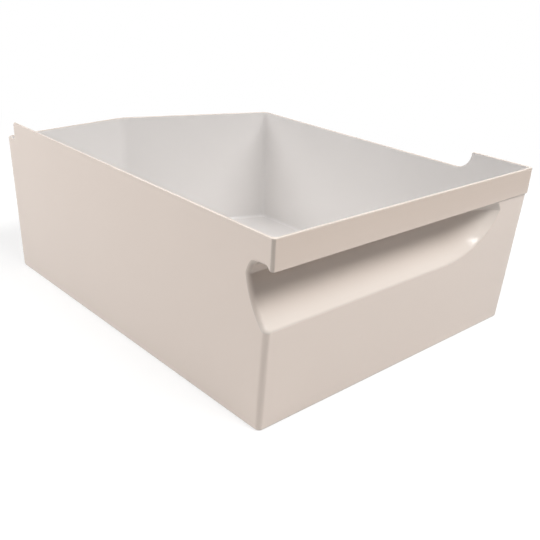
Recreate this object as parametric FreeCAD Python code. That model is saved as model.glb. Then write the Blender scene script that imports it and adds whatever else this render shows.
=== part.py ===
"""Fridge crisper drawer: one thin-walled injection moulding, open at the top.

Millimetres, +Z up. The origin is the middle of the box round the part, at its base. The front
faces -Y, and the finger recess in the front wall runs out through the left wall, at -X.
"""
import math
import os

import FreeCAD
import Part

# Overall sizes, outside
width = 374.0           # across the side walls at the top rim
depth = 482.0           # from the front band to the crease of the rear wall, at the low rim
height = 178.0          # front rim and left rim
rim_drop = 20.5         # from there down to the rear rim and most of the right rim

# Walls
wall = 2.6
floor = 2.8
side_draft = 0.85       # degrees off vertical
front_draft = 2.2
rear_draft = 4.0

# Rear wall, a shallow V in plan
crease_from_left = 169.0
left_corner_setback = 25.0    # how far each rear corner lies in front of the crease
right_corner_setback = 62.0

# Upright corners and bottom edges
front_corner_radius = 5.5     # outside, under the front band
rear_left_radius = 10.0
rear_right_radius = 10.0
crease_radius = 40.0
least_inside_corner = 5.0     # the least radius of an upright corner on the inside
bottom_radius = 3.0
rear_bottom_radius = 9.0      # the same edge, under the rear wall
inside_floor_radius = 4.0
rear_floor_radius = 7.0

# Front band, proud of the panel under it
band_height = 28.5
band_proud = 0.1        # at the rim; the panel's draft adds to it further down
band_corner_radius = 3.4
band_edge_radius = 1.2

# Finger recess, as a section across the front wall that starts at the panel and climbs inwards
ceiling_above_band = 3.1   # how far the ceiling lies above the lower edge of the band
sill_angle = 45.0       # of the floor where it leaves the panel, in degrees above level
recess_floor_radius = 83.5
back_lean = 11.0        # of the back below its deepest line, off upright
overhang_angle = 22.0   # and above it
recess_crease_radius = 3.0
overhang_length = 5.5
recess_ceiling_radius = 10.0
lip_depth = 9.5         # from the band's face to the back of its lip
recess_end_to_side = 50.0  # from the closed end to the right wall, along the panel
recess_end_length = 84.0   # of the part that sweeps forward to the closed end
recess_edge_radius = 4.0

# Rim steps
right_step_from_front = 72.0   # where the high front end of the right rim drops away
right_step_foot_radius = 17.0
left_step_to_corner = 25.0     # from where the high left rim drops to the rear corner
left_step_foot_radius = 3.0
step_top_radius = 3.0
rim_radius = 1.0
rim_flat = 0.4          # the least that stays flat between the two rounded edges of the rim

least_inside_edge = 0.5    # the least radius of the recess's edge on the inside
clear = 20.0            # how far cuts reach past the part
end_overrun = 1.3       # how much further the end of the recess is turned than to the panel
tiny = 0.01             # how closely faces are matched

V = FreeCAD.Vector
front_y = -depth / 2
rear_y = depth / 2
left_x = -width / 2
right_x = width / 2
low_rim_z = height - rim_drop
band_z = height - band_height
front_slope = math.tan(math.radians(front_draft))


class Wall:
    """A flat drafted wall: a plan line at a reference height, leaning inwards below it."""

    def __init__(self, start, end, reference_z, draft):
        self.start = start
        self.along = (end - start).normalize()
        self.inward = V(-self.along.y, self.along.x, 0)
        self.reference_z = reference_z
        self.slope = math.tan(math.radians(draft))
        self.lean = math.cos(math.radians(draft))

    def line(self, z, inset):
        """A point and the direction of the wall's plan line at height z, inset square to the wall."""
        shift = (self.reference_z - z) * self.slope + inset / self.lean
        return self.start + self.inward * shift, self.along


def meet(first, second, z, inset):
    """The plan point where two neighbouring walls meet at height z."""
    p, a = first.line(z, inset)
    q, b = second.line(z, inset)
    reach = ((q.x - p.x) * b.y - (q.y - p.y) * b.x) / (a.x * b.y - a.y * b.x)
    point = p + a * reach
    return V(point.x, point.y, z)


def inside_radius(radius, least):
    """The radius on the inside of a wall whose outside has the given radius."""
    return max(radius - wall, least)


def edges_through(shape, points):
    """The shape's edges that pass through the given points."""
    found = []
    for point in points:
        spot = Part.Vertex(point)
        found.append(min(shape.Edges, key=lambda edge: edge.distToShape(spot)[0]))
    return found


def walled_block(walls, bottom_z, top_z, inset, radii):
    """A solid between the given walls, with its upright edges rounded."""
    count = len(walls)
    bottom = [meet(walls[i - 1], walls[i], bottom_z, inset) for i in range(count)]
    top = [meet(walls[i - 1], walls[i], top_z, inset) for i in range(count)]
    faces = [Part.Face(Part.makePolygon(ring + ring[:1])) for ring in (bottom[::-1], top)]
    for i in range(count):
        j = (i + 1) % count
        faces.append(Part.Face(Part.makePolygon([bottom[i], bottom[j], top[j], top[i], bottom[i]])))
    shell = Part.makeShell(faces)
    shell.sewShape()
    block = Part.makeSolid(shell)
    for i, radius in radii.items():
        block = block.makeFillet(radius, edges_through(block, [(bottom[i] + top[i]) * 0.5]))
    return block


# Plan of the walls, counter-clockwise from the front
panel_y = front_y + band_proud
left_panel_turn = math.atan2(left_corner_setback, crease_from_left)
right_panel_turn = math.atan2(right_corner_setback, width - crease_from_left)
half_turn = (left_panel_turn + right_panel_turn) / 2
crease_y = rear_y + crease_radius * (1 / math.cos(half_turn) - 1)
crease = V(left_x + crease_from_left, crease_y, 0)
rear_right = V(right_x, crease_y - right_corner_setback, 0)
rear_left = V(left_x, crease_y - left_corner_setback, 0)

front_wall = Wall(V(left_x, panel_y, 0), V(right_x, panel_y, 0), height, front_draft)
right_wall = Wall(V(right_x, panel_y, 0), rear_right, height, side_draft)
rear_main_wall = Wall(rear_right, crease, low_rim_z, rear_draft)
rear_left_wall = Wall(crease, rear_left, low_rim_z, rear_draft)
left_wall = Wall(rear_left, V(left_x, panel_y, 0), height, side_draft)
walls = [front_wall, right_wall, rear_main_wall, rear_left_wall, left_wall]
corner_radii = [front_corner_radius, front_corner_radius, rear_right_radius, crease_radius,
                rear_left_radius]


def rounded_bottom(block, radius, rear_radius):
    """The block with its bottom edges rounded, and more so along the two panels of the rear wall."""
    base = min(block.Faces, key=lambda face: face.CenterOfMass.z)
    document = FreeCAD.newDocument()
    plain = document.addObject("Part::Feature", "plain")
    plain.Shape = block
    rounding = document.addObject("Part::Fillet", "rounding")
    rounding.Base = plain
    side_x = max(vertex.X for vertex in base.Vertexes)
    table = []
    for number, edge in enumerate(block.Edges, 1):
        if any(edge.isSame(other) for other in base.Edges):
            ends = [edge.valueAt(edge.FirstParameter), edge.valueAt(edge.LastParameter)]
            at_rear = [end.y > 0 and abs(end.x) < side_x - tiny for end in ends]
            radii = [rear_radius if rear else radius for rear in at_rear]
            table.append((number, radii[0], radii[1]))
    rounding.Edges = table
    document.recompute()
    rounded = rounding.Shape.copy()
    FreeCAD.closeDocument(document.Name)
    return rounded


class Pen:
    """Draws a section in the YZ plane: straight runs and tangent arcs that turn upwards and forwards."""

    def __init__(self, y, z, angle):
        self.spot = V(0, y, z)
        self.angle = math.radians(angle)
        self.edges = []

    def heading(self):
        return V(0, math.cos(self.angle), math.sin(self.angle))

    def run(self, length):
        if length == 0:
            return
        end = self.spot + self.heading() * length
        self.edges.append(Part.makeLine(self.spot, end))
        self.spot = end

    def turn(self, radius, degrees):
        side = V(0, -math.sin(self.angle), math.cos(self.angle)) * math.copysign(1, degrees)
        centre = self.spot + side * radius
        start = self.spot
        sweep = math.radians(degrees)
        points = []
        for share in (0.5, 1):
            angle = self.angle + sweep * share
            points.append(centre - V(0, -math.sin(angle), math.cos(angle)) * math.copysign(radius, degrees))
        self.edges.append(Part.Arc(start, points[0], points[1]).toShape())
        self.angle += sweep
        self.spot = points[1]

    def face(self, corners):
        """The drawn line closed by straight runs through the given corners."""
        runs = [Part.makeLine(a, b) for a, b in zip(corners, corners[1:])]
        return Part.Face(Part.Wire(self.edges + runs))


def across(section, from_x, to_x):
    """A section in the YZ plane drawn out along X."""
    solid = section.extrude(V(to_x - from_x, 0, 0))
    solid.translate(V(from_x, 0, 0))
    return solid


def draw_recess(pen, grow):
    """Draws the recess from its sill up to its ceiling, and gives its deepest point."""
    pen.turn(recess_floor_radius + grow, 90 - back_lean - sill_angle)
    pen.turn(recess_crease_radius + grow, back_lean)
    deepest = pen.spot
    pen.turn(recess_crease_radius + grow, overhang_angle)
    pen.run(overhang_length)
    pen.turn(recess_ceiling_radius + grow, 90 - overhang_angle)
    return deepest


# The ceiling is placed from the band, and the sill from the ceiling
trial = Pen(0, 0, sill_angle)
draw_recess(trial, 0)
ceiling_z = band_z + ceiling_above_band
sill_z = ceiling_z - trial.spot.z
sill_y = panel_y + (height - sill_z) * front_slope
sill_out = V(0, math.sin(math.radians(sill_angle)), -math.cos(math.radians(sill_angle)))


def recess_section(grow):
    """The recess across the front wall, open to the front, and its deepest point.

    Grown by the wall, it is the section of the inside, which the back of the recess pushes in.
    """
    sill = V(0, sill_y, sill_z) + sill_out * grow
    pen = Pen(sill.y, sill.z, sill_angle)
    outside = sill - pen.heading() * clear
    deepest = draw_recess(pen, grow)
    ceiling = pen.spot
    front = front_y - clear
    return pen.face([ceiling, V(0, front, ceiling.z), V(0, front, outside.z), outside, sill]), deepest


def recess_space(grow):
    """The recess as a solid: a straight trough that leaves through the left wall, and a swept end.

    The end is the same section turned about an upright axis in front of the drawer, far enough
    away for the deepest line to reach the panel where the recess ends.
    """
    deepest = recess_section(0)[1]
    inset = deepest.y - panel_y - (height - deepest.z) * front_slope
    axis_reach = (recess_end_length ** 2 - inset ** 2) / (2 * inset)
    axis_foot = V(0, panel_y + height * front_slope - axis_reach, 0)
    sweep = math.degrees(math.asin(recess_end_length / (axis_reach + inset)))

    section = recess_section(grow)[0]
    end_x = right_x - recess_end_to_side - recess_end_length
    trough = across(section, left_x - clear, end_x)
    end = section.revolve(axis_foot, V(0, -front_slope, 1), -sweep * end_overrun)
    end.translate(V(end_x, 0, 0))
    return trough.fuse(end)


def without_recess(solid, grow, radius):
    """The solid less the recess, with the edge all round the recess rounded."""
    sill = V(0, sill_y, sill_z) + sill_out * grow
    solid = solid.cut(recess_space(grow)).Solids[0]
    return solid.makeFillet(radius, edges_through(solid, [sill]))


def band():
    """The front band, with a lip whose underside climbs in an S to the rounded edge of the recess."""
    lip_y = front_y + lip_depth
    back_y = lip_y + front_corner_radius
    front = Wall(V(left_x, front_y, 0), V(right_x, front_y, 0), height, 0)
    back = Wall(V(right_x, back_y, 0), V(left_x, back_y, 0), height, 0)
    strip = walled_block([front, right_wall, back, left_wall], band_z, height, 0,
                         {0: band_corner_radius, 1: band_corner_radius})
    rise = ceiling_above_band + recess_edge_radius / 2
    radius = (lip_depth ** 2 + rise ** 2) / (4 * rise)
    turn = 2 * math.degrees(math.atan2(rise, lip_depth))
    start = V(0, front_y, band_z)
    pen = Pen(front_y, band_z, 0)
    pen.turn(radius, turn)
    pen.turn(radius, -turn)
    far_y = back_y + clear
    low_z = band_z - clear
    under = pen.face([pen.spot, V(0, far_y, pen.spot.z), V(0, far_y, low_z), V(0, front_y, low_z), start])
    strip = strip.cut(across(under, left_x - clear, right_x + clear)).Solids[0]
    strip = strip.makeFillet(band_edge_radius, edges_through(strip, [start]))
    shelf_z = (ceiling_z + recess_edge_radius + height) / 2
    corner = V(left_x - clear, lip_y, low_z)
    behind_lip = Part.makeBox(width + 2 * clear, far_y - lip_y, shelf_z - low_z, corner)
    return strip.cut(behind_lip).Solids[0]


def rim_step(step_y, foot_radius, from_x, to_x):
    """What is cut away above the low rim, behind a step with a rounded top and foot."""
    drop = height - low_rim_z
    turn = math.degrees(math.acos(max(0, 1 - drop / (step_top_radius + foot_radius))))
    pen = Pen(step_y, height, 0)
    pen.turn(step_top_radius, -turn)
    pen.run(max(0, drop - step_top_radius - foot_radius))
    pen.turn(foot_radius, turn)
    foot = pen.spot
    top_z = height + clear
    far_y = rear_y + clear
    start = V(0, step_y, height)
    cut = pen.face([foot, V(0, far_y, foot.z), V(0, far_y, top_z), V(0, step_y, top_z), start])
    return across(cut, from_x, to_x)


def rounded_rim(body):
    """The body with both edges of its rim rounded, along the high rim, the steps and the low rim."""
    step_start = front_y + right_step_from_front - tiny
    uses = {}
    for face in body.Faces:
        u_low, u_high, v_low, v_high = face.ParameterRange
        normal = face.normalAt((u_low + u_high) / 2, (v_low + v_high) / 2)
        z = face.CenterOfMass.z
        level = normal.z > 1 - tiny and min(abs(z - height), abs(z - low_rim_z)) < tiny
        behind = face.BoundBox.YMin > step_start and face.BoundBox.ZMin > low_rim_z - tiny
        if level or (behind and abs(normal.x) < tiny):
            for edge in face.Edges:
                uses.setdefault(edge.hashCode(), []).append(edge)
    radius = min(rim_radius, (wall - rim_flat) / 2)
    return body.makeFillet(radius, [edges[0] for edges in uses.values() if len(edges) == 1])


# Outside: the walled block and its recess, then the band over it
outside = walled_block(walls, 0, height, 0, dict(enumerate(corner_radii)))
outside = rounded_bottom(outside, bottom_radius, rear_bottom_radius)
outside = without_recess(outside, 0, recess_edge_radius)
outside = outside.fuse(band()).removeSplitter()

# Inside: the same walls one wall further in, less the back of the recess
inside_radii = [inside_radius(radius, least_inside_corner) for radius in corner_radii]
inside = walled_block(walls, floor, height + clear, wall, dict(enumerate(inside_radii)))
inside = rounded_bottom(inside, inside_floor_radius, rear_floor_radius)
inside = without_recess(inside, wall, inside_radius(recess_edge_radius, least_inside_edge))

# Rim: high along the front and the left side, low round the rest
right_step_y = front_y + right_step_from_front
left_step_y = rear_left.y - left_step_to_corner
right_step = rim_step(right_step_y, right_step_foot_radius, 0, right_x + clear)
left_step = rim_step(left_step_y, left_step_foot_radius, left_x - clear, 0)
drawer = outside.cut(inside).cut(right_step.fuse(left_step)).removeSplitter().Solids[0]
drawer = rounded_rim(drawer)

os.makedirs("parts", exist_ok=True)
drawer.exportStep("parts/crisper_drawer.step")
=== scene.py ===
"""A fridge crisper drawer: one open-topped plastic moulding on a white studio floor."""
import math

import bmesh
import bpy
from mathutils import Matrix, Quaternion, Vector


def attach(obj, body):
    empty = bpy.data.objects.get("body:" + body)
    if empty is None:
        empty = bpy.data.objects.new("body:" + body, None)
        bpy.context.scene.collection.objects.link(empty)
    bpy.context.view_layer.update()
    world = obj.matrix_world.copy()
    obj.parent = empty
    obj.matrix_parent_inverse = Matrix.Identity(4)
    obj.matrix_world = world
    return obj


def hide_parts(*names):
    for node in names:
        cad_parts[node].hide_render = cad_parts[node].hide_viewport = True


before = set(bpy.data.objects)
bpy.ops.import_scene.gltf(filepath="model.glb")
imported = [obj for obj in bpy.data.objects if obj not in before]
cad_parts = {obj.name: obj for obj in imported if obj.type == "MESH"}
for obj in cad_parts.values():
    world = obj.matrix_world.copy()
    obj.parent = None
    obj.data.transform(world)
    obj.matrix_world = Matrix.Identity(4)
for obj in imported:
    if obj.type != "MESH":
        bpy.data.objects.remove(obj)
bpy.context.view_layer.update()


# The drawer is one injection moulding in glossy polystyrene, shaped by a copy of its solid with the
# triangles joined. Its colours hold painted light: the warmer outside and whiter inside are painted
# warm side light and cool top light, and painted shade darkens the band and its corners, the edge of
# the rim, and the finger recess, most at its back.
joining_distance = 1e-6
sharpest_smooth_edge = math.radians(28)
pull_of_large_faces = 100           # 50 is even, and at 100 the flat walls stay flat up to their edges
inside_floor_z = 0.01               # metres, as all the places below
low_rim_z = 0.1562                  # the rounded edge of the rim starts here
rim_step_x = 0.175                  # the rim's two steps lie further out than this
band_corner = (0.17, -0.2, 0.149)   # the band's corners lie further out, in front of and above this
band_back_y = -0.235
lip_z = (0.1485, 0.1535)            # the edge of the lip over the finger recess
lip_back_y = -0.225
recess_z = (0.085, 0.1535)
recess_depth = (0.0002, 0.03)       # behind the front panel
panel_top = (-0.2409, 0.178)        # y and z of the front panel's top, from which it leans back
panel_slope = 0.0384
wall_inward = 0.02                  # the plane of an inner wall is at least this far from the middle
rim_upward = 0.3                    # the least part of a face's normal along an axis, as those below
corner_outward = 0.3
band_forward = 0.3
floor_upward = 0.9
ledge_upward = 0.5
step_endways = 0.7
# The colour slots: painted warm light outside, painted cool light inside, and painted shade in the
# recess, on the edges and on the band.
warm_lit_outside, cool_lit_inside, recess_shade_slot, edge_shade_slot, band_shade_slot = range(5)


def slot_of(face):
    """The colour slot of a face of the moulding, from where it lies and how it is turned."""
    x, y, z = face.calc_center_median()
    turned = face.normal
    if z > low_rim_z and turned.z > rim_upward:
        return edge_shade_slot
    on_band_corner = abs(x) > band_corner[0] and y < band_corner[1] and z > band_corner[2]
    if on_band_corner and abs(turned.x) > corner_outward and turned.y < -band_forward:
        return edge_shade_slot
    if y < band_back_y and z > band_corner[2] and turned.y < -band_forward:
        return band_shade_slot
    on_floor = turned.z > floor_upward and z < inside_floor_z
    over_recess = turned.z > ledge_upward and lip_z[1] < z < low_rim_z
    on_wall = -(turned.x * x + turned.y * y) > wall_inward
    on_step = z > low_rim_z and abs(turned.y) > step_endways and abs(x) > rim_step_x
    on_lip = y < lip_back_y and lip_z[0] < z < lip_z[1]
    if on_floor or over_recess or (on_wall and not on_step and not on_lip):
        return cool_lit_inside
    depth = y - panel_top[0] - (panel_top[1] - z) * panel_slope
    if recess_depth[0] < depth < recess_depth[1] and recess_z[0] < z < recess_z[1]:
        return recess_shade_slot
    return warm_lit_outside


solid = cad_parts["crisper_drawer"]
shell = bmesh.new()
shell.from_mesh(solid.data)
bmesh.ops.remove_doubles(shell, verts=shell.verts, dist=joining_distance)
for face in shell.faces:
    face.smooth = True
    face.material_index = slot_of(face)
drawer_mesh = bpy.data.meshes.new("drawer_moulding")
shell.to_mesh(drawer_mesh)
shell.free()
drawer_mesh.set_sharp_from_angle(angle=sharpest_smooth_edge)
drawer = bpy.data.objects.new("drawer_moulding", drawer_mesh)
bpy.context.scene.collection.objects.link(drawer)
flat_walls = drawer.modifiers.new("flat_walls", "WEIGHTED_NORMAL")
flat_walls.keep_sharp = True
flat_walls.weight = pull_of_large_faces

waviness_size = 0.11                # metres from crest to crest
waviness_height = 0.00012
grain_size = 0.0011
grain_height = 0.000002
bump_detail = 1                     # finer levels of the noise, as the other details
shade_detail = 2
smudge_size = 0.05
smudge_detail = 4

moulded_skin = bpy.data.node_groups.new("moulded_skin", "ShaderNodeTree")
for socket, kind in (("Place", "Vector"), ("Clean Roughness", "Float"), ("Smudged Roughness", "Float")):
    moulded_skin.interface.new_socket(socket, in_out="INPUT", socket_type="NodeSocket" + kind)
for socket, kind in (("Shade", "Float"), ("Roughness", "Float"), ("Normal", "Vector")):
    moulded_skin.interface.new_socket(socket, in_out="OUTPUT", socket_type="NodeSocket" + kind)
skin_in = moulded_skin.nodes.new("NodeGroupInput")
skin_out = moulded_skin.nodes.new("NodeGroupOutput")


def skin_noise(size, detail):
    """Noise over the moulding, with patches of about this size."""
    noise = moulded_skin.nodes.new("ShaderNodeTexNoise")
    noise.inputs["Scale"].default_value = 1 / size
    noise.inputs["Detail"].default_value = detail
    moulded_skin.links.new(skin_in.outputs["Place"], noise.inputs["Vector"])
    return noise.outputs["Fac"]


def skin_bump(size, height):
    """Bumps over the moulding, of this size and height."""
    bump = moulded_skin.nodes.new("ShaderNodeBump")
    bump.inputs["Distance"].default_value = height
    moulded_skin.links.new(skin_noise(size, bump_detail), bump.inputs["Height"])
    return bump


moulded_skin.links.new(skin_noise(waviness_size, shade_detail), skin_out.inputs["Shade"])
smudges = moulded_skin.nodes.new("ShaderNodeMapRange")
moulded_skin.links.new(skin_noise(smudge_size, smudge_detail), smudges.inputs["Value"])
moulded_skin.links.new(skin_in.outputs["Clean Roughness"], smudges.inputs["To Min"])
moulded_skin.links.new(skin_in.outputs["Smudged Roughness"], smudges.inputs["To Max"])
moulded_skin.links.new(smudges.outputs["Result"], skin_out.inputs["Roughness"])
waves = skin_bump(waviness_size, waviness_height)
grain = skin_bump(grain_size, grain_height)
moulded_skin.links.new(waves.outputs["Normal"], grain.inputs["Normal"])
moulded_skin.links.new(grain.outputs["Normal"], skin_out.inputs["Normal"])

plastic_ior = 1.5
shade_depth = 0.02                  # how much darker the plastic gets in patches
moulding_gloss = (0.12, 0.2)        # roughness where it is clean and where it is smudged
edge_shade_gloss = (0.15, 0.25)


def polystyrene(name, colour, gloss):
    """Glossy moulded plastic, a little uneven in its colour and gloss."""
    material = bpy.data.materials.new(name)
    material.use_nodes = True
    nodes, links = material.node_tree.nodes, material.node_tree.links
    surface = nodes["Principled BSDF"]
    surface.inputs["IOR"].default_value = plastic_ior
    place = nodes.new("ShaderNodeTexCoord")
    skin = nodes.new("ShaderNodeGroup")
    skin.node_tree = moulded_skin
    clean, smudged = gloss
    skin.inputs["Clean Roughness"].default_value = clean
    skin.inputs["Smudged Roughness"].default_value = smudged
    links.new(place.outputs["Object"], skin.inputs["Place"])
    tint = nodes.new("ShaderNodeMix")
    tint.name = "tint"
    tint.data_type = "RGBA"
    shaded_colour = [part - shade_depth for part in colour]
    tint.inputs["A"].default_value = (*colour, 1)
    tint.inputs["B"].default_value = (*shaded_colour, 1)
    links.new(skin.outputs["Shade"], tint.inputs["Factor"])
    links.new(tint.outputs["Result"], surface.inputs["Base Color"])
    links.new(skin.outputs["Roughness"], surface.inputs["Roughness"])
    links.new(skin.outputs["Normal"], surface.inputs["Normal"])
    return material


# The warm outside and the whiter inside are one plastic: painted warm side light and cool top light.
warm_white = polystyrene("warm_white_polystyrene", (0.85, 0.735, 0.655), moulding_gloss)
white = polystyrene("white_polystyrene", (0.735, 0.711, 0.695), moulding_gloss)
# Painted shade: the finger recess under the lip is darker than the panel.
shaded_recess = polystyrene("shaded_recess_polystyrene", (0.77, 0.69, 0.625), moulding_gloss)
# Painted shade: darker on the edge of the rim and on the corners of the band.
edge_shade = polystyrene("edge_shade_polystyrene", (0.69, 0.6, 0.53), edge_shade_gloss)
# Painted shade: the band is darker than the panel below it.
band_shade = polystyrene("band_shade_polystyrene", (0.79, 0.67, 0.585), moulding_gloss)

# Painted shade: the recess darkens towards its back, where the lip's shadow falls.
recess_back_shade = (0.66, 0.56, 0.49)
unshaded_until_y = -0.233              # the painted shade deepens from here to the back of the recess
darkest_from_y = -0.219
shaded_recess_nodes, shaded_recess_links = shaded_recess.node_tree.nodes, shaded_recess.node_tree.links
recess_place = shaded_recess_nodes.new("ShaderNodeSeparateXYZ")
shaded_recess_links.new(shaded_recess_nodes["Texture Coordinate"].outputs["Object"], recess_place.inputs[0])
towards_back = shaded_recess_nodes.new("ShaderNodeMapRange")
towards_back.inputs["From Min"].default_value = unshaded_until_y
towards_back.inputs["From Max"].default_value = darkest_from_y
shaded_recess_links.new(recess_place.outputs["Y"], towards_back.inputs["Value"])
darkened_back = shaded_recess_nodes.new("ShaderNodeMix")
darkened_back.data_type = "RGBA"
shaded_recess_links.new(towards_back.outputs["Result"], darkened_back.inputs["Factor"])
shaded_recess_links.new(shaded_recess_nodes["tint"].outputs["Result"], darkened_back.inputs["A"])
darkened_back.inputs["B"].default_value = (*recess_back_shade, 1)
shaded_recess_links.new(darkened_back.outputs["Result"], shaded_recess_nodes["Principled BSDF"].inputs["Base Color"])

for finish in (warm_white, white, shaded_recess, edge_shade, band_shade):
    drawer_mesh.materials.append(finish)
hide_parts("crisper_drawer")
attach(drawer, "root")


# The floor is a seamless white studio sheet, lifted to white where the camera sees it: fully so
# away from the drawer, and less beside it, so that its shadow stays on the sheet. In reflections,
# the sheet ends a little way in front of the drawer, and the floor beyond it is dim.
floor_reach = 20.0
floor_albedo = 0.55                 # as the drawer is lit by it
shadow_share = 0.4                  # beside the drawer, the part of the white that a shadow takes away
lifted_white = 0.62                 # and the part that stays
plain_white = 1.0
shadow_reach = 0.45                 # metres from the middle of the drawer, as the next
plain_white_from = 1.0
sheet_front = -0.49
sheet_fade = 0.02
beyond_sheet = 0.2

sheet = bmesh.new()
bmesh.ops.create_grid(sheet, x_segments=1, y_segments=1, size=floor_reach)
floor_mesh = bpy.data.meshes.new("studio_floor")
sheet.to_mesh(floor_mesh)
sheet.free()
floor = bpy.data.objects.new("studio_floor", floor_mesh)
bpy.context.scene.collection.objects.link(floor)

paper = bpy.data.materials.new("white_paper")
paper.use_nodes = True
paper_nodes, paper_links = paper.node_tree.nodes, paper.node_tree.links
paper_nodes.clear()
spot = paper_nodes.new("ShaderNodeTexCoord")


def seen_by(tree, *rays):
    """1 for these kinds of ray, as the light path node names them, and 0 for the others."""
    path = tree.nodes.new("ShaderNodeLightPath")
    seen = path.outputs[rays[0]]
    for ray in rays[1:]:
        either = tree.nodes.new("ShaderNodeMath")
        either.operation = "MAXIMUM"
        tree.links.new(seen, either.inputs[0])
        tree.links.new(path.outputs[ray], either.inputs[1])
        seen = either.outputs[0]
    return seen


def diffuse(grey):
    """Matt paper that shows light and shadow."""
    shader = paper_nodes.new("ShaderNodeBsdfDiffuse")
    shader.inputs["Color"].default_value = (grey, grey, grey, 1)
    return shader.outputs[0]


def glow(strength):
    """Paper that looks this bright in any light."""
    shader = paper_nodes.new("ShaderNodeEmission")
    shader.inputs["Strength"].default_value = strength
    return shader.outputs[0]


def mixed(share, first, second):
    """The first shader where the share is 0, and the second where it is 1."""
    mix = paper_nodes.new("ShaderNodeMixShader")
    paper_links.new(share, mix.inputs[0])
    paper_links.new(first, mix.inputs[1])
    paper_links.new(second, mix.inputs[2])
    return mix.outputs[0]


def faded(value, low, high):
    """A smooth step from 0 where the value is low to 1 where it is high."""
    fade = paper_nodes.new("ShaderNodeMapRange")
    fade.interpolation_type = "SMOOTHSTEP"
    fade.inputs["From Min"].default_value = low
    fade.inputs["From Max"].default_value = high
    paper_links.new(value, fade.inputs["Value"])
    return fade.outputs["Result"]


beside = paper_nodes.new("ShaderNodeAddShader")
paper_links.new(diffuse(shadow_share), beside.inputs[0])
paper_links.new(glow(lifted_white), beside.inputs[1])
distance = paper_nodes.new("ShaderNodeVectorMath")
distance.operation = "LENGTH"
paper_links.new(spot.outputs["Object"], distance.inputs[0])
away = faded(distance.outputs["Value"], shadow_reach, plain_white_from)
viewed = mixed(away, beside.outputs[0], glow(plain_white))

along = paper_nodes.new("ShaderNodeSeparateXYZ")
paper_links.new(spot.outputs["Object"], along.inputs[0])
on_sheet = faded(along.outputs["Y"], sheet_front - sheet_fade, sheet_front + sheet_fade)
reflected = mixed(on_sheet, glow(beyond_sheet), glow(plain_white))

in_view = seen_by(paper.node_tree, "Is Camera Ray", "Is Transmission Ray")
straight = mixed(in_view, diffuse(floor_albedo), viewed)
whole = mixed(seen_by(paper.node_tree, "Is Glossy Ray"), straight, reflected)
output = paper_nodes.new("ShaderNodeOutputMaterial")
paper_links.new(whole, output.inputs["Surface"])
floor_mesh.materials.append(paper)


# The studio around it is white wherever the camera or a reflection looks past the floor. It gives
# no light of its own, so that only the lamps light the drawer.
room = bpy.data.worlds.new("studio_room")
room.use_nodes = True
bpy.context.scene.world = room
backdrop = room.node_tree.nodes["Background"]
backdrop.inputs["Color"].default_value = (1, 1, 1, 1)
shown = seen_by(room.node_tree, "Is Camera Ray", "Is Glossy Ray", "Is Transmission Ray")
room.node_tree.links.new(shown, backdrop.inputs["Strength"])


# The lamps are softboxes. One high in front throws the shadow of the lip into the recess, and one
# behind on the left lights the left side and the inside. A low strip gives the highlight at the end
# of the recess, and two large faint ones, behind on the right and on top, soften the shade.
aim = Vector((0, 0, 0.08))
lamp_distance = 2.2


def softbox(name, azimuth, elevation, width, height, power):
    """An area lamp that faces the drawer, at an azimuth counted from the front to the right."""
    turn, tilt = math.radians(azimuth), math.radians(elevation)
    out = Vector((math.sin(turn) * math.cos(tilt), -math.cos(turn) * math.cos(tilt), math.sin(tilt)))
    light = bpy.data.lights.new(name, "AREA")
    light.shape = "RECTANGLE"
    light.size = width
    light.size_y = height
    light.energy = power
    lamp = bpy.data.objects.new(name, light)
    lamp.location = aim + out * lamp_distance
    lamp.rotation_mode = "QUATERNION"
    lamp.rotation_quaternion = (-out).to_track_quat("-Z", "Y")
    bpy.context.scene.collection.objects.link(lamp)


softbox("front_softbox", azimuth=20, elevation=56, width=1.9, height=0.8, power=49.5)
softbox("left_softbox", azimuth=235, elevation=36, width=2.0, height=0.8, power=37)
softbox("low_softbox", azimuth=24, elevation=27, width=0.2, height=0.08, power=1.3)
softbox("right_softbox", azimuth=120, elevation=30, width=1.4, height=1.4, power=4)
softbox("top_softbox", azimuth=-45, elevation=75, width=1.4, height=1.4, power=2)


# The camera stands before the front left corner of the drawer and looks down into it from above the
# rim. Its place was found from the drawer's straight edges, and it leans a little to one side.
camera_place = Vector((-0.5388, -0.6064, 0.3737))
camera_yaw = math.radians(43.75)    # from straight behind the front, towards the right
camera_pitch = math.radians(23.50)  # downwards
camera_roll = math.radians(3.61)
camera_lens = 49.17                 # millimetres, on a 36 mm sensor

camera_data = bpy.data.cameras.new("camera")
camera_data.lens = camera_lens
camera = bpy.data.objects.new("camera", camera_data)
level = Vector((math.sin(camera_yaw), math.cos(camera_yaw), 0))
ahead = level * math.cos(camera_pitch) - Vector((0, 0, math.sin(camera_pitch)))
camera.location = camera_place
camera.rotation_mode = "QUATERNION"
camera.rotation_quaternion = ahead.to_track_quat("-Z", "Y") @ Quaternion((0, 0, 1), camera_roll)
bpy.context.scene.collection.objects.link(camera)
bpy.context.scene.camera = camera
bpy.context.scene.view_settings.view_transform = "Standard"
